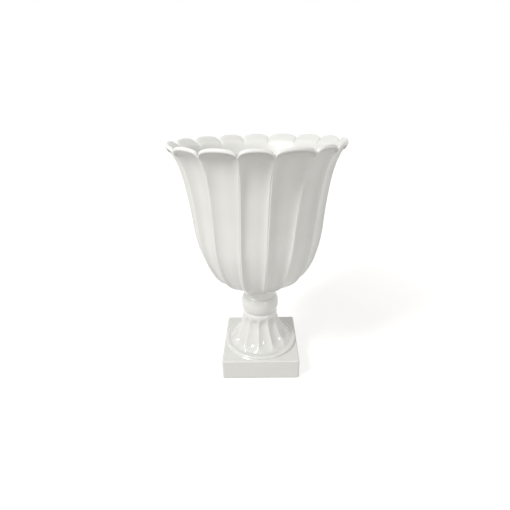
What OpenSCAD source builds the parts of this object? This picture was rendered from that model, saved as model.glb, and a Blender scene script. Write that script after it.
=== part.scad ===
// Footed vase: a bowl of sixteen petals on a collar, a knop, a fluted foot and a square plinth.
// The ceramic pieces are cast apart and luted together, each seat centred by a raised ring.
// +Z is up, the origin is on the floor under the middle, and -Y is the front.

/* [Plinth] */
// Width and depth of the square plinth
plinth_w = 104; // [90:1:140]
// Height of the plinth without its pads
plinth_h = 28; // [18:1:45]
// Rounding of the upright corners
plinth_corner_r = 3; // [2:0.5:6]
// Rounding of the top edge
plinth_edge_r = 1.6; // [0.8:0.2:2]
// Thickness of the side walls
plinth_wall = 6; // [5:0.5:9]
// Thickness of the top plate
plinth_plate = 6; // [4:0.5:9]
// Rounding of the hollow's upright corners, which leaves room for the pads
hollow_corner_r = 14; // [12:1:20]
// Width of the round opening in the top plate, under the foot's hollow
plinth_opening_d = 56; // [40:1:58]
// Height of the raised ring that centres the foot
plinth_ring_h = 2; // [1:0.5:2]
// Thickness of that ring
plinth_ring_t = 3; // [2:0.5:6]

/* [Pads] */
// Width of each round pad
pad_d = 9; // [6:0.5:10]
// Thickness of each pad
pad_t = 1.2; // [0.8:0.2:3]
// Rim of plinth left outside each pad
pad_margin = 1; // [0.6:0.1:2]

/* [Foot] */
// Width across the foot's rolled edge
foot_d = 101; // [80:1:102]
// Height of the foot
foot_h = 51.5; // [38:0.5:70]
// Width of the plain neck at the top of the foot
foot_neck_d = 47.8; // [44:0.2:54]
// Number of flutes round the foot
foot_flutes = 12; // [8:1:18]
// How far the first ridge is turned away from the front, in degrees
foot_turn = -4; // [-15:1:15]
// Height of the rolled edge
foot_roll_h = 5; // [4:0.5:7]
// Height of the plain neck above the flutes
foot_neck_h = 5.5; // [4:0.5:12]
// Thickness of the foot's wall at a ridge
foot_wall = 7.5; // [6:0.5:9]
// Thickness of the foot's top plate
foot_plate = 6; // [4:0.5:9]
// Bevel of the neck's top edge
foot_bevel = 1.5; // [0.5:0.5:2.5]
// Depth of a flute as a share of its width
foot_flute_share = 0.18; // [0.05:0.01:0.2]

/* [Knop] */
// Width of the knop at its middle
knop_d = 51.2; // [44:0.2:60]
// Height of the knop
knop_h = 23; // [16:0.5:34]
// Width of the knop's lower end, on the foot
knop_low_d = 42; // [38:0.5:44]
// Width of the knop's upper end, under the collar
knop_top_d = 41; // [38:0.5:43]

/* [Collar] */
// Height of the collar
collar_h = 14; // [8:0.5:20]
// Width of the collar at the knop
collar_low_d = 41; // [38:0.5:43]
// Width of the collar at its waist
collar_waist_d = 38; // [36:0.5:42]
// Width of the collar under the bowl
collar_top_d = 43.6; // [40:0.2:44.4]

/* [Seats] */
// Width of the bore through collar, knop and foot
bore_d = 16; // [10:1:20]
// Width of the raised ring that centres a seat
ring_d = 27; // [25:0.5:30]
// Height of the raised ring
ring_h = 2.5; // [1.5:0.5:4]
// Slack between a raised ring and the socket it enters
seat_gap = 0.3; // [0.1:0.05:0.6]

/* [Bowl] */
// Height of the bowl from its seat to the petal tips
bowl_h = 187.5; // [140:0.5:240]
// Width across the petal tips
rim_d = 205; // [170:1:250]
// Number of petals
petals = 16; // [10:1:20]
// Where the first petal begins at the rim, in degrees from the front
rim_turn = -9; // [-15:1:5]
// How far the ribs turn on their way from the rim down to the seat, in degrees
rib_turn = -8; // [-12:1:12]
// How far the rim dips between two petals
notch_drop = 7; // [4:0.5:12]
// Thickness of the rolled lip
lip_t = 4.8; // [3:0.2:5.6]
// Thickness of the wall in the middle of a petal
petal_wall = 3; // [2.4:0.2:4]
// Thickness of the bowl's floor above its seat
bowl_floor = 7; // [6:0.5:12]
// Depth of a petal's hollow as a share of its width
petal_hollow_share = 0.12; // [0.05:0.01:0.15]

/* [Hidden] */
$fn = 96;
overrun = 1;

// Heights at which the pieces seat on each other
plinth_z = pad_t;
foot_z = plinth_z + plinth_h;
knop_z = foot_z + foot_h;
collar_z = knop_z + knop_h;
bowl_z = collar_z + collar_h;

// Outline of the bowl over a rib, as shares of its height and of the rim's radius
bowl_outline_shares = [
    [0, 0.236], [0.045, 0.390], [0.105, 0.543], [0.165, 0.627], [0.260, 0.705], [0.400, 0.768],
    [0.580, 0.797], [0.750, 0.834], [0.860, 0.878], [0.940, 0.945], [1, 1]
];
// Widths of the petals at the rim and at the seat, which handwork leaves a little uneven, as shares
// of their mean width, going round to the right from the front
rim_width_shares = [
    0.84, 1.08, 0.87, 1.03, 1.04, 1.03, 1.04, 1.05, 0.96, 0.93, 1.01, 1.02, 1.02, 1.02, 1.03, 1.03
];
seat_width_shares = [
    1, 0.87, 1.02, 1.02, 1.04, 1.03, 1.04, 1.04, 0.98, 0.96, 1, 1.02, 1.02, 1.09, 0.87, 1
];
// Places across half a petal and half a flute at which the surface is drawn, from middle to ridge
petal_cut_shares = [0, 0.45, 0.75, 0.93, 1];
flute_cut_shares = [0, 0.3, 0.6, 0.86, 1];
// Height share from which the petals rise into arches
arch_share = 0.75;
// Height share of the throat, where the petals leave the smooth inside
throat_share = 0.93;
// Radius share of the inside at the throat
throat_radius_share = 0.852;
// Squareness of a petal's arch and of the foot's bell, where 2 is a plain ellipse
arch_power = 2.3;
bell_power = 1.6;
// Share across half a petal at which its narrow rib begins
rib_share = 0.93;
// How flat a petal is between its ribs, and how late its hollow runs out under the lip
petal_power = 4.2;
hollow_end_power = 7;
// How far the petal is drawn in under its lip, as a share of the lip's thickness
undercut_share = 0.65;
// Height share of the foot, over its roll, in which a flute runs out into the plain surface
flute_end_share = 0.22;
// Steps along each stretch of the bowl's outline, along the foot and along a turned curve
outline_steps = 2;
fine_steps = 8;
foot_steps = 11;
turned_steps = 12;
edge_steps = 6;
inside_rows = 11;
foot_inside_steps = 7;
// Shares of the flare from throat to lip at which it is drawn, and how it bends
flare_shares = [0.6, 0.25, 0];
flare_power = 0.55;
// Powers that crowd the drawn rows where the bowl's floor and the foot's flare bend most
floor_crowding = 1.5;
bell_crowding = 1.3;
hollow_crowding = 1.6;
// Angles at which the bowl's lip and the foot's roll are drawn
lip_angles = [-40, 5, 50, 95, 140];
roll_angles = [-90, -50, -10, 30, 70];

function mix(a, b, t) = a + (b - a) * t;
function clamp01(t) = max(0, min(1, t));
function ease(t) = let (c = clamp01(t)) c * c * (3 - 2 * c);

// Smooth curve through a list of points: the place at t, counted in points from the first
function curve(p, t) =
    let (
        i = min(floor(t), len(p) - 2), f = t - i,
        b = p[i], c = p[i + 1],
        a = i > 0 ? p[i - 1] : 2 * b - c,
        d = i < len(p) - 2 ? p[i + 2] : 2 * c - b
    )
    b + f * ((c - a) / 2 + f * ((2 * a - 5 * b + 4 * c - d) / 2 + f * (3 * b - a - 3 * c + d) / 2));

// Height or radius that a rounded arch has lost at share s of its half width
function arch_loss(s, power) = 1 - pow(1 - pow(abs(s), power), 1 / power);

// Edges of n lobes round a piece, in degrees from the front, whose widths follow a list of shares
function lobe_edges(n, width_shares, turn) =
    let (
        widths = [for (i = [0 : n - 1]) width_shares[i % len(width_shares)]],
        whole = widths * [for (w = widths) 1]
    )
    [for (i = 0, edge = turn; i <= n; edge = edge + 360 * widths[i % n] / whole, i = i + 1) edge];
// Cuts round the lobes between such edges: each is a turn from the front and the share across its lobe,
// 0 in the middle of the lobe and 1 on the ridge between two
function lobe_cuts(edges, cut_shares) =
    let (last = len(cut_shares) - 1)
    [for (lobe = [0 : len(edges) - 2], k = [-last : last - 1])
        let (s = cut_shares[abs(k)])
            [mix(edges[lobe], edges[lobe + 1], (1 + sign(k) * s) / 2), s]];
// Every second cut, for the smooth inner surfaces
function every_second(cuts) = [for (i = [0 : 2 : len(cuts) - 1]) cuts[i]];

// A point at radius r and height z, turned away from the front
function around(turn, r, z) = [r * sin(turn), -r * cos(turn), z];
function plain_ring(cuts, r, z) = [for (c = cuts) around(c[0], r, z)];

// Triangles between ring a of n points and ring b of m points, where one may hold half as many
function band(a, n, b, m) =
    n == m ? [for (i = [0 : n - 1]) let (j = (i + 1) % n)
        each [[a + i, b + j, a + j], [a + i, b + i, b + j]]]
    : n > m ? [for (i = [0 : m - 1]) let (j = (i + 1) % m, p = a + 2 * i, q = p + 1, r = a + (2 * i + 2) % n)
        each [[p, b + i, q], [q, b + i, b + j], [q, b + j, r]]]
    : [for (i = [0 : n - 1]) let (j = (i + 1) % n, p = b + 2 * i, q = p + 1, r = b + (2 * i + 2) % m)
        each [[a + i, q, a + j], [a + i, p, q], [a + j, q, r]]];

// Closed skin over a list of rings, capped at both ends or joined from the last to the first
function starts(rings) = [for (i = 0, s = 0; i < len(rings); s = s + len(rings[i]), i = i + 1) s];
module skin(rings, joined = false) {
    s = starts(rings);
    last = len(rings) - 1;
    sides = [for (i = [0 : last - 1]) each band(s[i], len(rings[i]), s[i + 1], len(rings[i + 1]))];
    ends = joined
        ? band(s[last], len(rings[last]), s[0], len(rings[0]))
        : [[for (i = [0 : len(rings[0]) - 1]) i],
           [for (i = [len(rings[last]) - 1 : -1 : 0]) s[last] + i]];
    polyhedron(points = [for (r = rings) each r], faces = concat(sides, ends), convexity = 6);
}

// Bowl

rim_r = rim_d / 2;
lip_r = lip_t / 2;
rim_cuts = lobe_cuts(lobe_edges(petals, rim_width_shares, rim_turn), petal_cut_shares);
seat_cuts = lobe_cuts(lobe_edges(petals, seat_width_shares, rim_turn + rib_turn), petal_cut_shares);
bowl_outline = [
    for (i = [0 : fine_steps * (len(bowl_outline_shares) - 1)])
        let (p = curve(bowl_outline_shares, i / fine_steps)) [p[0] * bowl_h, p[1] * rim_r]
];
row_shares = [
    for (i = [0 : outline_steps * (len(bowl_outline_shares) - 1)])
        curve(bowl_outline_shares, i / outline_steps)[0]
];
arch_z = arch_share * bowl_h;
throat_z = throat_share * bowl_h;
throat_r = throat_radius_share * rim_r;

// Cuts of the bowl at height z, which follow the ribs as they turn
function petal_cuts(z) = [
    for (i = [0 : len(rim_cuts) - 1]) [mix(seat_cuts[i][0], rim_cuts[i][0], z / bowl_h), rim_cuts[i][1]]
];
function inside_ring(r, z) = plain_ring(every_second(petal_cuts(z)), r, z);

function rib_r(z) = lookup(z, bowl_outline);
function petal_hollow(z) = petal_hollow_share * 2 * PI * rib_r(z) / petals;
// Top of the petal at share s, and the centre of its lip there
function petal_top(s) = bowl_h - notch_drop * arch_loss(s, arch_power);
function lip_z(s) = petal_top(s) - lip_r;
function lip_centre_r(s) = rib_r(petal_top(s)) - lip_r;
// Height of an outer row: level below the arches, and rising with them above
function row_z(share, s) =
    share <= arch_share ? share * bowl_h : mix(arch_z, lip_z(s) - lip_r, (share - arch_share) / (1 - arch_share));
// Outer surface: hollow between the ribs, and drawn in under the lip
function petal_r(z, s) =
    let (rise = clamp01((z - arch_z) / (lip_z(s) - lip_r - arch_z)))
    rib_r(z)
        - petal_hollow(z) * max(0, 1 - pow(s / rib_share, petal_power) - pow(rise, hollow_end_power))
        - undercut_share * lip_t * ease(2 * rise - 1) * (1 - pow(s, hollow_end_power));
function petal_row(share) = [
    for (c = petal_cuts(share * bowl_h)) let (z = row_z(share, c[1])) around(c[0], petal_r(z, c[1]), z)
];
function lip_row(angle) = [
    for (c = rim_cuts)
        around(c[0], lip_centre_r(c[1]) + lip_r * cos(angle), lip_z(c[1]) + lip_r * sin(angle))
];
// Inside: smooth from the floor to the throat, then out to the lip. The wall is measured square to its slope.
function slope(z) = (rib_r(z + petal_wall) - rib_r(z - petal_wall)) / (2 * petal_wall);
function inside_r(z) = min(rib_r(z) - petal_hollow(z) - petal_wall * norm([1, slope(z)]), throat_r);
function flare_row(t) = [
    for (c = petal_cuts(mix(throat_z, bowl_h, t)))
        around(c[0], mix(throat_r, lip_centre_r(c[1]) - lip_r, t), mix(throat_z, lip_z(c[1]), pow(t, flare_power)))
];

module bowl() {
    socket_r = ring_d / 2 + seat_gap;
    outer = [for (share = row_shares) petal_row(share)];
    lip = [for (angle = lip_angles) lip_row(angle)];
    flare = [for (t = flare_shares) flare_row(t)];
    inside = [
        for (i = [1 : inside_rows])
            let (z = mix(bowl_floor, throat_z, pow(1 - i / inside_rows, floor_crowding)))
                inside_ring(inside_r(z), z)
    ];
    color("ivory")
        translate([0, 0, bowl_z])
            skin(concat(
                [inside_ring(socket_r, ring_h + seat_gap), inside_ring(socket_r, 0)],
                outer, lip, flare, inside));
}

// Collar and knop

module collar() {
    side = [
        for (i = [0 : turned_steps])
            let (t = 2 * i / turned_steps - 1)
                [mix(collar_waist_d, t < 0 ? collar_low_d : collar_top_d, t * t) / 2, collar_h * (t + 1) / 2]
    ];
    color("ivory")
        translate([0, 0, collar_z])
            turned_tube(side, collar_h);
}

module knop() {
    side = [
        for (i = [0 : turned_steps])
            let (a = 180 * i / turned_steps - 90)
                [mix(a < 0 ? knop_low_d : knop_top_d, knop_d, cos(a)) / 2, knop_h * (1 + sin(a)) / 2]
    ];
    color("ivory")
        translate([0, 0, knop_z])
            turned_tube(side, knop_h);
}

// A turned piece with a bore, a socket below and a raised ring above
module turned_tube(side, h) {
    difference() {
        union() {
            rotate_extrude() polygon(concat([[0, 0]], side, [[0, h]]));
            cylinder(d = ring_d, h = h + ring_h);
        }
        translate([0, 0, -overrun]) cylinder(d = bore_d, h = h + ring_h + 2 * overrun);
        translate([0, 0, -overrun]) cylinder(d = ring_d + 2 * seat_gap, h = ring_h + seat_gap + overrun);
    }
}

// Foot

foot_r = foot_d / 2;
foot_neck_r = foot_neck_d / 2;
foot_cuts = lobe_cuts(lobe_edges(foot_flutes, [1], foot_turn), flute_cut_shares);
foot_inside_cuts = every_second(foot_cuts);
flute_top_z = foot_h - foot_neck_h;
foot_roll_r = foot_roll_h / 2;

// Bell outline over a ridge, from the roll to the neck
function bell_r(z) =
    let (t = clamp01((flute_top_z - z) / (flute_top_z - foot_roll_r)))
    mix(foot_neck_r, foot_r, arch_loss(t, bell_power));
function flute_depth(z) = foot_flute_share * 2 * PI * bell_r(z) / foot_flutes;
// A flute is hollow between its ridges and runs out in a round end above and below
function flute_end(t) =
    t < flute_end_share ? 1 - t / flute_end_share : t > 1 - flute_end_share ? (t - 1) / flute_end_share + 1 : 0;
function fluted_r(z, s) =
    let (end = flute_end((z - foot_roll_h) / (flute_top_z - foot_roll_h)))
    bell_r(z) - flute_depth(z) * max(0, 1 - s * s - end * end);

module foot() {
    bore_r = bore_d / 2;
    centring_r = ring_d / 2;
    inside_top = foot_h - foot_plate;
    roll = [
        for (angle = roll_angles)
            plain_ring(foot_cuts, foot_r + foot_roll_r * (cos(angle) - 1), foot_roll_r * (sin(angle) + 1))
    ];
    bell = [
        for (i = [0 : foot_steps])
            let (z = mix(foot_roll_h, flute_top_z, pow(i / foot_steps, bell_crowding)))
                [for (c = foot_cuts) around(c[0], fluted_r(z, c[1]), z)]
    ];
    top = [
        plain_ring(foot_cuts, foot_neck_r, foot_h - foot_bevel),
        plain_ring(foot_inside_cuts, foot_neck_r - foot_bevel, foot_h),
        plain_ring(foot_inside_cuts, centring_r, foot_h),
        plain_ring(foot_inside_cuts, centring_r, foot_h + ring_h),
        plain_ring(foot_inside_cuts, bore_r, foot_h + ring_h),
        plain_ring(foot_inside_cuts, bore_r, inside_top)
    ];
    hollow = [
        for (i = [foot_inside_steps : -1 : 0])
            let (z = inside_top * pow(i / foot_inside_steps, hollow_crowding))
                plain_ring(foot_inside_cuts, bell_r(z) - foot_wall, z)
    ];
    color("ivory")
        translate([0, 0, foot_z])
            skin(concat(roll, bell, top, hollow), joined = true);
}

// Plinth and pads

module rounded_post(x, y) {
    edge = [
        for (i = [0 : edge_steps])
            let (a = 90 * i / edge_steps)
                [plinth_corner_r + plinth_edge_r * (cos(a) - 1), plinth_h + plinth_edge_r * (sin(a) - 1)]
    ];
    translate([x, y, 0])
        rotate_extrude($fn = 32)
            polygon(concat([[0, 0], [plinth_corner_r, 0]], edge, [[0, plinth_h]]));
}

module plinth() {
    post = plinth_w / 2 - plinth_corner_r;
    inner = plinth_w / 2 - plinth_wall;
    inner_post = inner - hollow_corner_r;
    ring_r = foot_r - foot_wall - seat_gap;
    color("ivory")
        translate([0, 0, plinth_z]) {
            difference() {
                hull()
                    for (x = [-post, post], y = [-post, post])
                        rounded_post(x, y);
                translate([0, 0, -overrun])
                    linear_extrude(plinth_h - plinth_plate + overrun)
                        union() {
                            square([2 * inner, 2 * inner_post], center = true);
                            square([2 * inner_post, 2 * inner], center = true);
                            for (x = [-inner_post, inner_post], y = [-inner_post, inner_post])
                                translate([x, y]) circle(r = hollow_corner_r);
                        }
                cylinder(d = plinth_opening_d, h = plinth_h + overrun);
            }
            translate([0, 0, plinth_h - plinth_ring_t])
                difference() {
                    cylinder(r = ring_r, h = plinth_ring_t + plinth_ring_h);
                    translate([0, 0, -overrun])
                        cylinder(r = ring_r - plinth_ring_t, h = plinth_ring_t + plinth_ring_h + 2 * overrun);
                }
        }
}

pad_place = plinth_w / 2 - pad_margin - pad_d / 2;
module pad(x, y) {
    color("gainsboro")
        translate([x * pad_place, y * pad_place, 0])
            cylinder(d = pad_d, h = pad_t);
}

bowl();
collar();
knop();
foot();
plinth();
pad(-1, -1);  // pad_front_left
pad(1, -1);  // pad_front_right
pad(-1, 1);  // pad_back_left
pad(1, 1);  // pad_back_right
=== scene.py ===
import math

import bpy
from mathutils import Matrix, Vector


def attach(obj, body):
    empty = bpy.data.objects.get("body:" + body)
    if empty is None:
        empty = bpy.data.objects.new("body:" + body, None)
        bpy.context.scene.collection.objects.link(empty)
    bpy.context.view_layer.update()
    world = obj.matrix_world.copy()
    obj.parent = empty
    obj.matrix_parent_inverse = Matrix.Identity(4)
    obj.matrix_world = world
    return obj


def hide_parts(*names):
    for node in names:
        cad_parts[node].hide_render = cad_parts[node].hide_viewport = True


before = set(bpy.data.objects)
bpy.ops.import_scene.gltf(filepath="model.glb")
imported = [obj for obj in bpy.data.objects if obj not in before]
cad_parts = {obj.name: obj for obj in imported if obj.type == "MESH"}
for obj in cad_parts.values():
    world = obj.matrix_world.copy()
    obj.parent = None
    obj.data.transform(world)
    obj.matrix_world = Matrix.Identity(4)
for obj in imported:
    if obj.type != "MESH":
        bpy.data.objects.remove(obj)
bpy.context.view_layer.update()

# Plinth
# The square block under everything, slip-cast in white earthenware, hollow and open below. Its
# edges are sponged round and white glaze is poured over it. The foot ring that stands on the pads
# and the hollow are wiped clean, so there the fired clay shows.

plinth_half = 0.052
plinth_top = 0.0292
plinth_foot = 0.0012
hollow_half = 0.0462
hollow_top = 0.0233
sponged = 0.0016
wiped = 0.0005
pooling_height = 0.006
edge_pooling = 0.5
edge_thinning = 0.3
edge_reach = 1.5 * sponged
corner_reach = 2 * sponged

# The darker white is glaze pooled in hollows and also paints shade into them; the lighter white is glaze
# running thin on crests and also paints a highlight on them.
white = (0.795, 0.800, 0.770, 1)
pooled_and_shaded_white = (0.700, 0.700, 0.668, 1)
thin_and_highlight_white = (0.850, 0.850, 0.825, 1)
bare_clay = (0.690, 0.640, 0.560, 1)
glass_ior = 1.5
ripple_depth = 0.0005
wave_size = 0.012
grain_size = 0.0007
pinhole_spacing = 0.009
pinhole_radius = 0.045 * pinhole_spacing
speck_spacing = 0.013
speck_radius = 0.03 * speck_spacing
speck_core = 0.01 * speck_spacing
cloud_share = 0.40
hollow_share = 0.60
crest_share = 0.6
speck_share = 0.25
pinhole_depth = 0.4
glaze_grain = 0.04
clay_grain = 0.8
cloud_dulling = 0.10
pinhole_dulling = 0.20
clay_dulling = 0.60


class Amount:
    """A number or colour that changes over a surface. Arithmetic on it adds Math nodes."""

    def __init__(self, coat, socket):
        self.coat = coat
        self.socket = socket

    def combine(self, operation, first, second=0.0):
        return self.coat.node("ShaderNodeMath", {"operation": operation}, {0: first, 1: second})

    def __add__(self, other):
        return self.combine("ADD", self, other)

    def __radd__(self, other):
        return self.combine("ADD", other, self)

    def __sub__(self, other):
        return self.combine("SUBTRACT", self, other)

    def __rsub__(self, other):
        return self.combine("SUBTRACT", other, self)

    def __mul__(self, other):
        return self.combine("MULTIPLY", self, other)

    def __rmul__(self, other):
        return self.combine("MULTIPLY", other, self)

    def __abs__(self):
        return self.combine("ABSOLUTE", self)

    def __lt__(self, other):
        return self.combine("LESS_THAN", self, other)

    def larger(self, other):
        return self.combine("MAXIMUM", self, other)

    def smaller(self, other):
        return self.combine("MINIMUM", self, other)

    def between(self, low, high):
        """0 where the amount is at low, 1 where it is at high, and even steps between."""
        ends = {"Value": self, "From Min": low, "From Max": high}
        return self.coat.node("ShaderNodeMapRange", {}, ends)


class Coat:
    """Nodes in a new material, which covers a piece, or in a world, which fills the room."""

    def __init__(self, holder):
        self.holder = holder
        holder.use_nodes = True
        self.tree = holder.node_tree
        self.tree.nodes.clear()

    def node(self, kind, settings, sockets, output=0):
        made = self.tree.nodes.new(kind)
        for name, value in settings.items():
            setattr(made, name, value)
        for name, value in sockets.items():
            if isinstance(value, Amount):
                self.tree.links.new(value.socket, made.inputs[name])
            else:
                made.inputs[name].default_value = value
        return Amount(self, made.outputs[output]) if made.outputs else None

    def place(self):
        return self.node("ShaderNodeTexCoord", {}, {}, "Object")

    def noise(self, place, size, detail):
        """Soft lumps, each about as wide as size."""
        return self.node("ShaderNodeTexNoise", {}, {"Vector": place, "Scale": 1 / size, "Detail": detail})

    def dots(self, place, spacing, radius, core):
        """Round dots at scattered points: 1 within the core of each, 0 beyond its radius."""
        cells = {"Vector": place, "Scale": 1 / spacing}
        distance = self.node("ShaderNodeTexVoronoi", {}, cells, "Distance")
        return distance.between(radius / spacing, core / spacing)

    def colour_mix(self, share, first, second):
        return self.node("ShaderNodeMix", {"data_type": "RGBA"}, {0: share, 6: first, 7: second}, 2)

    def finish(self, colour, roughness, height, bump_strength, bump_depth, coat_weight, coat_roughness):
        bump = self.node(
            "ShaderNodeBump", {}, {"Height": height, "Strength": bump_strength, "Distance": bump_depth}
        )
        surface = self.node(
            "ShaderNodeBsdfPrincipled", {},
            {"Base Color": colour, "Roughness": roughness, "Normal": bump, "Coat Weight": coat_weight,
             "Coat Roughness": coat_roughness, "IOR": glass_ior}
        )
        self.node("ShaderNodeOutputMaterial", {}, {"Surface": surface})
        return self.holder


def scaled(colour, tone):
    return tuple(part * tone for part in colour[:3]) + (1,)


def white_glaze(name, tone, satin, gloss, blur, cloud_size, ripple, hollows, crests, bare):
    """Opaque white glaze on clay: cloudy, darker in hollows (pooled glaze and painted shade), lighter
    on crests (thin glaze and painted highlight), with pinholes and specks.

    Tone scales its whites and satin is its roughness. Gloss and blur are the weight and roughness of
    the clear skin on it, and ripple is the strength of its waves. The last three are functions that
    give the share of hollow, of crest and of bare clay at a place.
    """
    coat = Coat(bpy.data.materials.new(name))
    place = coat.place()
    clouds = coat.noise(place, cloud_size, 3.0)
    waves = coat.noise(place, wave_size, 1.0)
    grain = coat.noise(place, grain_size, 1.0)
    pinholes = coat.dots(place, pinhole_spacing, pinhole_radius, 0.0)
    specks = coat.dots(place, speck_spacing, speck_radius, speck_core)
    # Hollows are painted darker: partly pooled glaze, partly painted shade.
    pooled_and_shaded = cloud_share * clouds + hollow_share * hollows(coat, place)
    body = coat.colour_mix(pooled_and_shaded, scaled(white, tone), scaled(pooled_and_shaded_white, tone))
    # Crests are painted lighter: partly thin glaze, partly a painted highlight.
    body = coat.colour_mix(crest_share * crests(coat, place), body, scaled(thin_and_highlight_white, tone))
    body = coat.colour_mix(speck_share * specks, body, bare_clay)
    mask = bare(coat, place)
    body = coat.colour_mix(mask, body, coat.colour_mix(grain, bare_clay, pooled_and_shaded_white))
    glazed = 1 - mask
    height = glazed * (waves - pinhole_depth * pinholes) + (glaze_grain + clay_grain * mask) * grain
    roughness = satin + cloud_dulling * clouds + pinhole_dulling * pinholes + clay_dulling * mask
    return coat.finish(
        colour=body, roughness=roughness, height=height, bump_strength=ripple, bump_depth=ripple_depth,
        coat_weight=gloss * glazed, coat_roughness=blur
    )


def axis_of(coat, place, axis):
    return coat.node("ShaderNodeSeparateXYZ", {}, {0: place}, axis)


def plinth_hollows(coat, place):
    """Glaze gathers towards the block's lower edge."""
    return edge_pooling * axis_of(coat, place, "Z").between(pooling_height, plinth_foot)


def plinth_crests(coat, place):
    """Glaze runs thin over the sponged corners and the top edge."""
    across = abs(axis_of(coat, place, "X"))
    along = abs(axis_of(coat, place, "Y"))
    high = axis_of(coat, place, "Z").between(plinth_top - edge_reach, plinth_top)
    outer = across.larger(along).between(plinth_half - edge_reach, plinth_half)
    corner = across.smaller(along).between(plinth_half - corner_reach, plinth_half)
    return edge_thinning * (high * outer).larger(corner)


def plinth_bare(coat, place):
    """The foot ring and all of the hollow below."""
    across = abs(axis_of(coat, place, "X"))
    along = abs(axis_of(coat, place, "Y"))
    up = axis_of(coat, place, "Z")
    hollow = (across.larger(along) < hollow_half) * (up < hollow_top)
    return hollow.larger(up < plinth_foot + wiped)


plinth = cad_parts["plinth"]
plinth.data.materials.clear()
plinth_glaze = white_glaze(
    "plinth_glaze", tone=0.98, satin=0.38, gloss=0.12, blur=0.15, cloud_size=0.06, ripple=0.10,
    hollows=plinth_hollows, crests=plinth_crests, bare=plinth_bare
)
plinth.data.materials.append(plinth_glaze)

# Pads
# Four round bumpers of clear matt silicone, stuck to the bare clay under the plinth's corners.
# They lift it off the table and keep it from scratching; the photograph hides them.

pad_shade = (0.72, 0.72, 0.70, 1)
pad_dust = (0.58, 0.57, 0.54, 1)
dust_size = 0.002
pad_grain_size = 0.0003
pad_grain_depth = 0.0002
pad_roughness = 0.45
dust_dulling = 0.2
silicone = Coat(bpy.data.materials.new("pad_silicone"))
pad_place = silicone.place()
dust = silicone.noise(pad_place, dust_size, 4.0)
pad_grain = silicone.noise(pad_place, pad_grain_size, 1.0)
silicone.finish(
    colour=silicone.colour_mix(dust, pad_shade, pad_dust), roughness=pad_roughness + dust_dulling * dust,
    height=pad_grain, bump_strength=0.1, bump_depth=pad_grain_depth, coat_weight=0.0, coat_roughness=0.1
)
for pad_name in ("pad_front_left", "pad_front_right", "pad_back_left", "pad_back_right"):
    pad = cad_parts[pad_name]
    pad.data.materials.clear()
    pad.data.materials.append(silicone.holder)

# Foot
# The fluted bell that carries the stem: cast in a two-part mould, its rolled edge luted to the
# plinth, its neck to the knop. The glaze is glossier here and gathers in the flutes, which also
# have shade painted darker into them.

foot_height = 0.0515
flute_low = 0.036
flute_high = 0.0735
flute_press = 0.0022
hollow_start = 0.45
hollow_full = 0.05
crest_start = 0.60
crest_full = 0.95
smoothing = 0.5
merge_within = 0.00001
pair_degrees = 60
pair_shape_degrees = 80


def pick(piece):
    bpy.ops.object.select_all(action="DESELECT")
    piece.hide_set(False)
    piece.select_set(True)
    bpy.context.view_layer.objects.active = piece


def add_modifier(piece, kind, settings):
    pick(piece)
    modifier = piece.modifiers.new(kind.lower(), kind)
    for name, value in settings.items():
        setattr(modifier, name, value)
    bpy.ops.object.modifier_apply(modifier=modifier.name)


def hand_worked(piece, width, depth):
    """Press the surface in a little, unevenly, as sponging and a worn mould do."""
    lumps = bpy.data.textures.new(piece.name + "_lumps", "CLOUDS")
    lumps.noise_scale = width
    lumps.noise_basis = "IMPROVED_PERLIN"
    lumps.noise_depth = 0
    add_modifier(
        piece, "DISPLACE",
        {"texture": lumps, "texture_coords": "LOCAL", "mid_level": 1.0, "strength": depth}
    )


def standing_out(piece, passes):
    """How far each point stands out of a smoothed copy of the piece, less than 0 where it lies back."""
    soft = piece.copy()
    soft.data = piece.data.copy()
    bpy.context.scene.collection.objects.link(soft)
    add_modifier(soft, "SMOOTH", {"factor": smoothing, "iterations": passes})
    points = zip(piece.data.vertices, soft.data.vertices)
    out = [(point.co - level.co).dot(point.normal) for point, level in points]
    bpy.data.objects.remove(soft)
    return out


def mark_depth(piece, passes, reach):
    """Keep that height on each point for the glaze: 0 lies back by reach, 1 stands out by reach."""
    mark = piece.data.attributes.new("depth", "FLOAT", "POINT")
    for value, out in zip(mark.data, standing_out(piece, passes)):
        value.value = min(max(0.5 + 0.5 * out / reach, 0), 1)


def exaggerate(piece, passes, gain, most_in, most_out):
    """Carry the outer hollows further in and the crests further out, by gain times their height."""
    moves = []
    for point, out in zip(piece.data.vertices, standing_out(piece, passes)):
        outer = point.normal.x * point.co.x + point.normal.y * point.co.y > 0
        reach = min(max(out * gain, -most_in), most_out) if outer else 0
        moves.append(point.normal * reach)
    for point, move in zip(piece.data.vertices, moves):
        point.co += move


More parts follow.
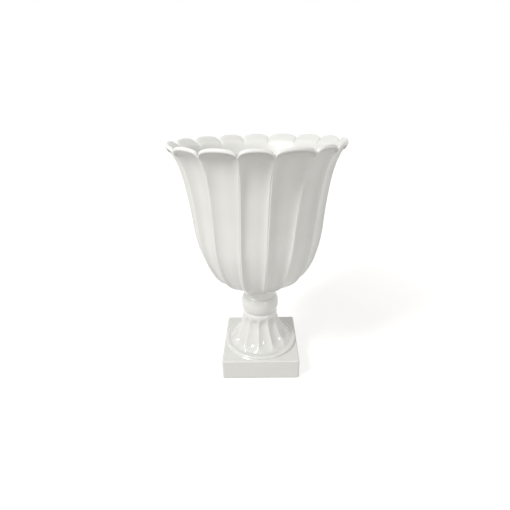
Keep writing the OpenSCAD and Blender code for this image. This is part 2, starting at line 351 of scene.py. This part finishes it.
def cast_copy(node, name, levels, crisp_degrees, crispness, crisp_low, crisp_high):
    """A CAD node's copy, merged and subdivided, with edges kept crisp between two heights."""
    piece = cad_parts[node].copy()
    piece.data = piece.data.copy()
    piece.name = name
    piece.parent = None
    for key in list(piece.keys()):
        del piece[key]
    bpy.context.scene.collection.objects.link(piece)
    pick(piece)
    bpy.ops.object.mode_set(mode="EDIT")
    bpy.ops.mesh.select_all(action="SELECT")
    bpy.ops.mesh.remove_doubles(threshold=merge_within)
    bpy.ops.mesh.tris_convert_to_quads(
        face_threshold=math.radians(pair_degrees), shape_threshold=math.radians(pair_shape_degrees)
    )
    bpy.ops.mesh.select_all(action="DESELECT")
    bpy.ops.mesh.select_mode(type="EDGE")
    bpy.ops.mesh.edges_select_sharp(sharpness=math.radians(crisp_degrees))
    bpy.ops.object.mode_set(mode="OBJECT")
    for edge in piece.data.edges:
        heights = [piece.data.vertices[end].co.z for end in edge.vertices]
        edge.select = edge.select and crisp_low < min(heights) and max(heights) < crisp_high
    bpy.ops.object.mode_set(mode="EDIT")
    bpy.ops.transform.edge_crease(value=crispness)
    bpy.ops.object.mode_set(mode="OBJECT")
    add_modifier(piece, "SUBSURF", {"levels": levels, "render_levels": levels})
    bpy.ops.object.shade_smooth()
    return piece


def marked_hollows(coat, place):
    """Hollows and crests come from the mark "depth", which every cast and turned piece has. A point lying
    back is painted darker, partly as pooled glaze and partly as painted shade.
    """
    depth = coat.node("ShaderNodeAttribute", {"attribute_name": "depth"}, {}, "Fac")
    return depth.between(hollow_start, hollow_full)


def marked_crests(coat, place):
    # A point standing out is painted lighter, partly as thin glaze and partly as a painted highlight.
    depth = coat.node("ShaderNodeAttribute", {"attribute_name": "depth"}, {}, "Fac")
    return depth.between(crest_start, crest_full)


def marked_bare(coat, place):
    """Bare clay where the mark "inside" says so; a piece without that mark is glazed all over."""
    return coat.node("ShaderNodeAttribute", {"attribute_name": "inside"}, {}, "Fac")


def mark_inside(piece):
    """Mark the points that face the axis and downwards: the hollow that glaze never reaches."""
    mark = piece.data.attributes.new("inside", "FLOAT", "POINT")
    for value, point in zip(mark.data, piece.data.vertices):
        inward = point.normal.x * point.co.x + point.normal.y * point.co.y < 0
        value.value = 1 if inward and point.normal.z < 0 else 0


def dress(piece, glaze, node):
    """Give a piece its glaze and let it stand for a CAD node, if it stands for one."""
    piece.data.materials.clear()
    piece.data.materials.append(glaze)
    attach(piece, "root")
    if node:
        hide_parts(node)


stem_glaze = white_glaze(
    "stem_glaze", tone=0.95, satin=0.10, gloss=0.9, blur=0.05, cloud_size=0.05, ripple=0.25,
    hollows=marked_hollows, crests=marked_crests, bare=marked_bare
)
foot = cast_copy(
    "foot", "foot_cast", levels=2, crisp_degrees=25, crispness=0.5,
    crisp_low=flute_low, crisp_high=flute_high
)
exaggerate(foot, passes=150, gain=1.4, most_in=flute_press, most_out=0.0)
hand_worked(foot, width=0.012, depth=0.0004)
# The depth mark paints the flutes darker, partly as pooled glaze and partly as painted shade, and the
# ridges lighter, partly as thin glaze and partly as a painted highlight.
mark_depth(foot, passes=100, reach=0.0009)
mark_inside(foot)
dress(foot, stem_glaze, "foot")

# Knop
# The cushion-shaped ring in the middle of the stem, turned on the wheel. It has a bore, a socket
# below for the foot's raised ring, and a raised ring above that enters the collar.

knop_foot = plinth_top + foot_height
knop_height = 0.023
knop_low_radius = 0.021
knop_top_radius = 0.0205
knop_radius = 0.0256
bore_radius = 0.008
socket_radius = 0.0138
ring_radius = 0.0135
ring_height = 0.0025
socket_height = 0.0028
knop_steps = 32
turning_lines = 0.00005
turning_pace = 2.2
turned_passes = 20
turned_reach = 0.0005
wheel_sides = 128
wheel_merge = 0.000005
smooth_degrees = 45


def turned(name, outline):
    """A piece turned on the wheel: a ring of clay drawn along an outline of radius and height."""
    bpy.ops.object.select_all(action="DESELECT")
    radius, height = outline[0]
    bpy.ops.mesh.primitive_circle_add(
        vertices=wheel_sides, radius=radius, location=(0, 0, height), enter_editmode=True
    )
    for (radius, height), (next_radius, next_height) in zip(outline, outline[1:]):
        bpy.ops.mesh.extrude_edges_move(
            TRANSFORM_OT_translate={"value": (0, 0, next_height - height)}
        )
        wider = next_radius / radius
        bpy.ops.transform.resize(value=(wider, wider, 1), center_override=(0, 0, next_height))
    bpy.ops.mesh.select_all(action="SELECT")
    bpy.ops.mesh.remove_doubles(threshold=wheel_merge)
    bpy.ops.mesh.normals_make_consistent(inside=False)
    bpy.ops.object.mode_set(mode="OBJECT")
    bpy.ops.object.transform_apply(location=True, rotation=False, scale=False)
    piece = bpy.context.object
    piece.name = name
    bpy.ops.object.shade_smooth_by_angle(angle=math.radians(smooth_degrees))
    return piece


def with_bore(side, low, height):
    """Close an outer outline with the raised ring, the bore and the socket."""
    top = low + height
    return side + [
        (ring_radius, top), (ring_radius, top + ring_height), (bore_radius, top + ring_height),
        (bore_radius, low + socket_height), (socket_radius, low + socket_height),
        (socket_radius, low), side[0]
    ]


def with_turning_lines(radius, step):
    """The radius at a step of an outline, with the fine grooves that the turning tool leaves."""
    return radius - turning_lines * (1 + math.sin(turning_pace * step))


knop_side = []
for step in range(knop_steps + 1):
    angle = math.radians(180 * step / knop_steps - 90)
    end_radius = knop_low_radius if angle < 0 else knop_top_radius
    radius = end_radius + (knop_radius - end_radius) * math.cos(angle)
    height = knop_foot + knop_height * (1 + math.sin(angle)) / 2
    knop_side.append((with_turning_lines(radius, step), height))
knop = turned("knop_turned", with_bore(knop_side, knop_foot, knop_height))
mark_depth(knop, turned_passes, turned_reach)
dress(knop, stem_glaze, "knop")

# Collar
# The short waisted neck between knop and bowl. It is turned on the wheel with the same bore,
# socket and raised ring as the knop, and luted to both.

collar_foot = knop_foot + knop_height
collar_height = 0.014
collar_low_radius = 0.0205
collar_waist_radius = 0.019
collar_top_radius = 0.0218
collar_steps = 16

collar_side = []
for step in range(collar_steps + 1):
    along = 2 * step / collar_steps - 1
    end_radius = collar_low_radius if along < 0 else collar_top_radius
    radius = collar_waist_radius + (end_radius - collar_waist_radius) * along * along
    height = collar_foot + collar_height * (1 + along) / 2
    collar_side.append((with_turning_lines(radius, step), height))
collar = turned("collar_turned", with_bore(collar_side, collar_foot, collar_height))
mark_depth(collar, turned_passes, turned_reach)
dress(collar, stem_glaze, "collar")

# Bowl
# The flower vessel: sixteen uneven petals drawn up from the seat to an arched, rolled lip, with a
# raised rib between each two. Cast in one piece, trimmed and softened by hand with a wet sponge.

bowl_foot = collar_foot + collar_height
rib_low = 0.119
rib_high = 0.290
rib_rounding = 0.0005
notch_low = 0.2835
notch_high = 0.2960
notch_fade = 0.0020
bowl_glaze = white_glaze(
    "bowl_glaze", tone=0.97, satin=0.30, gloss=0.24, blur=0.26, cloud_size=0.08, ripple=0.08,
    hollows=marked_hollows, crests=marked_crests, bare=marked_bare
)


def soften(piece, low, high, fade, passes):
    """Smooth the points between two heights, as a wet sponge does, and fade out at both."""
    group = piece.vertex_groups.new(name="sponged")
    for point in piece.data.vertices:
        inside = min(point.co.z - low, high - point.co.z) / fade
        if inside > 0:
            group.add([point.index], min(inside, 1), "REPLACE")
    add_modifier(piece, "SMOOTH", {"factor": smoothing, "iterations": passes, "vertex_group": group.name})


bowl = cast_copy(
    "bowl", "bowl_cast", levels=2, crisp_degrees=27, crispness=0.55,
    crisp_low=rib_low, crisp_high=rib_high
)
exaggerate(bowl, passes=60, gain=1.0, most_in=0.0, most_out=rib_rounding)
soften(bowl, notch_low, notch_high, notch_fade, passes=14)
hand_worked(bowl, width=0.025, depth=0.0005)
# The depth mark paints the hollows darker, partly as pooled glaze and partly as painted shade, and the
# ribs lighter, partly as thin glaze and partly as a painted highlight.
mark_depth(bowl, passes=60, reach=0.0005)
dress(bowl, bowl_glaze, "bowl")

# Luted seams
# Soft clay slip that joins each piece to the next. It squeezes out as the piece is pressed home,
# is wiped to a hollow with a wet brush, and is fired and glazed with the rest.


def seam(name, joint, outline):
    """Slip round a joint, from points of radius and height above the joint."""
    points = [(radius, joint + rise) for radius, rise in outline]
    slip = turned(name, points + points[:1])
    add_modifier(slip, "SUBSURF", {"levels": 1, "render_levels": 1})
    hand_worked(slip, width=0.010, depth=0.0002)
    mark_depth(slip, turned_passes, turned_reach)
    dress(slip, stem_glaze, None)


seam("seam_foot", plinth_top, [
    (0.0475, -0.0004), (0.0508, -0.0004), (0.0505, 0.0001), (0.0499, 0.0005), (0.0497, 0.0011),
    (0.0475, 0.0011)
])
seam("seam_neck", knop_foot, [
    (0.0195, -0.0015), (0.0236, -0.0019), (0.0229, -0.0008), (0.0227, 0.0001), (0.0229, 0.0012),
    (0.0195, 0.0015)
])
seam("seam_knop", collar_foot, [
    (0.0180, -0.0011), (0.0221, -0.0007), (0.0211, 0.0), (0.0203, 0.0009), (0.0198, 0.0021),
    (0.0180, 0.0021)
])
seam("seam_bowl", bowl_foot, [
    (0.0190, -0.0022), (0.0211, -0.0019), (0.0217, -0.0009), (0.0225, -0.0001), (0.0238, 0.0005),
    (0.0190, 0.0005)
])

# Room
# A white floor in a white room, with the vase's soft shadow on it. The light comes from a soft
# window high on the left, a pale wall at the right and the room all round.

window_place = (-0.84, -0.68, 1.20)
window_aim = (0, 0, 0.2)
window_width = 0.28
window_height = 0.50
window_watts = 13.2
wall_place = (0.86, -1.10, 0.65)
wall_aim = (0, 0, 0.15)
wall_size = 0.30
wall_watts = 2.3
wall_level = 0.85
ceiling_level = 0.33
sky_tint = (1.0, 0.980, 0.960, 1)
plain_white = (1, 1, 1, 1)
floor_size = 8
floor_shade = (0.55, 0.545, 0.54, 1)
floor_glow = 0.64
floor_far_glow = 0.82
floor_near = 0.20
floor_far = 0.70


def room_lamp(name, place, aim, width, tall, watts):
    lamp = bpy.data.lights.new(name, "AREA")
    lamp.shape = "RECTANGLE"
    lamp.size = width
    lamp.size_y = tall
    lamp.energy = watts
    holder = bpy.data.objects.new(name, lamp)
    holder.location = place
    holder.rotation_euler = (Vector(aim) - Vector(place)).to_track_quat("-Z", "Y").to_euler()
    bpy.context.scene.collection.objects.link(holder)


room_lamp("window", window_place, window_aim, window_width, window_height, window_watts)
room_lamp("pale_wall", wall_place, wall_aim, wall_size, wall_size, wall_watts)


def backdrop_rays(coat):
    """1 for what the camera sees, also in a reflection, where the backdrop shows plain white."""
    camera_ray = coat.node("ShaderNodeLightPath", {}, {}, "Is Camera Ray")
    glossy_ray = coat.node("ShaderNodeLightPath", {}, {}, "Is Glossy Ray")
    return camera_ray.larger(glossy_ray)


world = bpy.data.worlds.new("white_room")
bpy.context.scene.world = world
sky = Coat(world)
towards = sky.node("ShaderNodeTexCoord", {}, {}, "Generated")
upwards = axis_of(sky, towards, "Z").between(0.0, 1.0)
room_colour = sky.colour_mix(upwards, scaled(sky_tint, wall_level), scaled(sky_tint, ceiling_level))
sky_colour = sky.colour_mix(backdrop_rays(sky), room_colour, plain_white)
air = sky.node("ShaderNodeBackground", {}, {"Color": sky_colour, "Strength": 1.0})
sky.node("ShaderNodeOutputWorld", {}, {"Surface": air})

bpy.ops.mesh.primitive_plane_add(size=floor_size, location=(0, 0, 0))
floor = bpy.context.object
floor.name = "floor"
paint = Coat(bpy.data.materials.new("floor_paint"))
distance = paint.node("ShaderNodeVectorMath", {"operation": "LENGTH"}, {0: paint.place()}, "Value")
far = distance.between(floor_near, floor_far)
brightness = floor_glow + (floor_far_glow - floor_glow) * far
matt = paint.node("ShaderNodeBsdfDiffuse", {}, {"Color": floor_shade})
dark = paint.node("ShaderNodeEmission", {}, {"Strength": 0.0})
bright = paint.node("ShaderNodeEmission", {}, {"Strength": 1.0})
glow = paint.node("ShaderNodeMixShader", {}, {0: brightness * backdrop_rays(paint), 1: dark, 2: bright})
both = paint.node("ShaderNodeAddShader", {}, {0: matt, 1: glow})
paint.node("ShaderNodeOutputMaterial", {}, {"Surface": both})
floor.data.materials.append(paint.holder)

# Camera
# It stands where the photograph was taken from: close, above the rim, looking down and a little
# rolled. Its place, its angles in degrees and its lens in millimetres were fitted to the photograph.

camera_place = (0.00588, -0.39268, 0.33333)
camera_turn = 1.0586
camera_dip = 23.6365
camera_roll = -1.2769
camera_lens = 23.018
camera_sensor = 36
camera_shift_x = -0.00575
camera_shift_y = -0.00014
camera_near = 0.01

camera = bpy.data.objects.new("camera", bpy.data.cameras.new("camera"))
bpy.context.scene.collection.objects.link(camera)
camera.data.lens = camera_lens
camera.data.sensor_width = camera_sensor
camera.data.shift_x = camera_shift_x
camera.data.shift_y = camera_shift_y
camera.data.clip_start = camera_near
camera.matrix_world = (
    Matrix.Translation(camera_place)
    @ Matrix.Rotation(math.radians(camera_turn), 4, "Z")
    @ Matrix.Rotation(math.radians(90 - camera_dip), 4, "X")
    @ Matrix.Rotation(math.radians(camera_roll), 4, "Z")
)
bpy.context.scene.camera = camera
bpy.context.scene.view_settings.view_transform = "Standard"
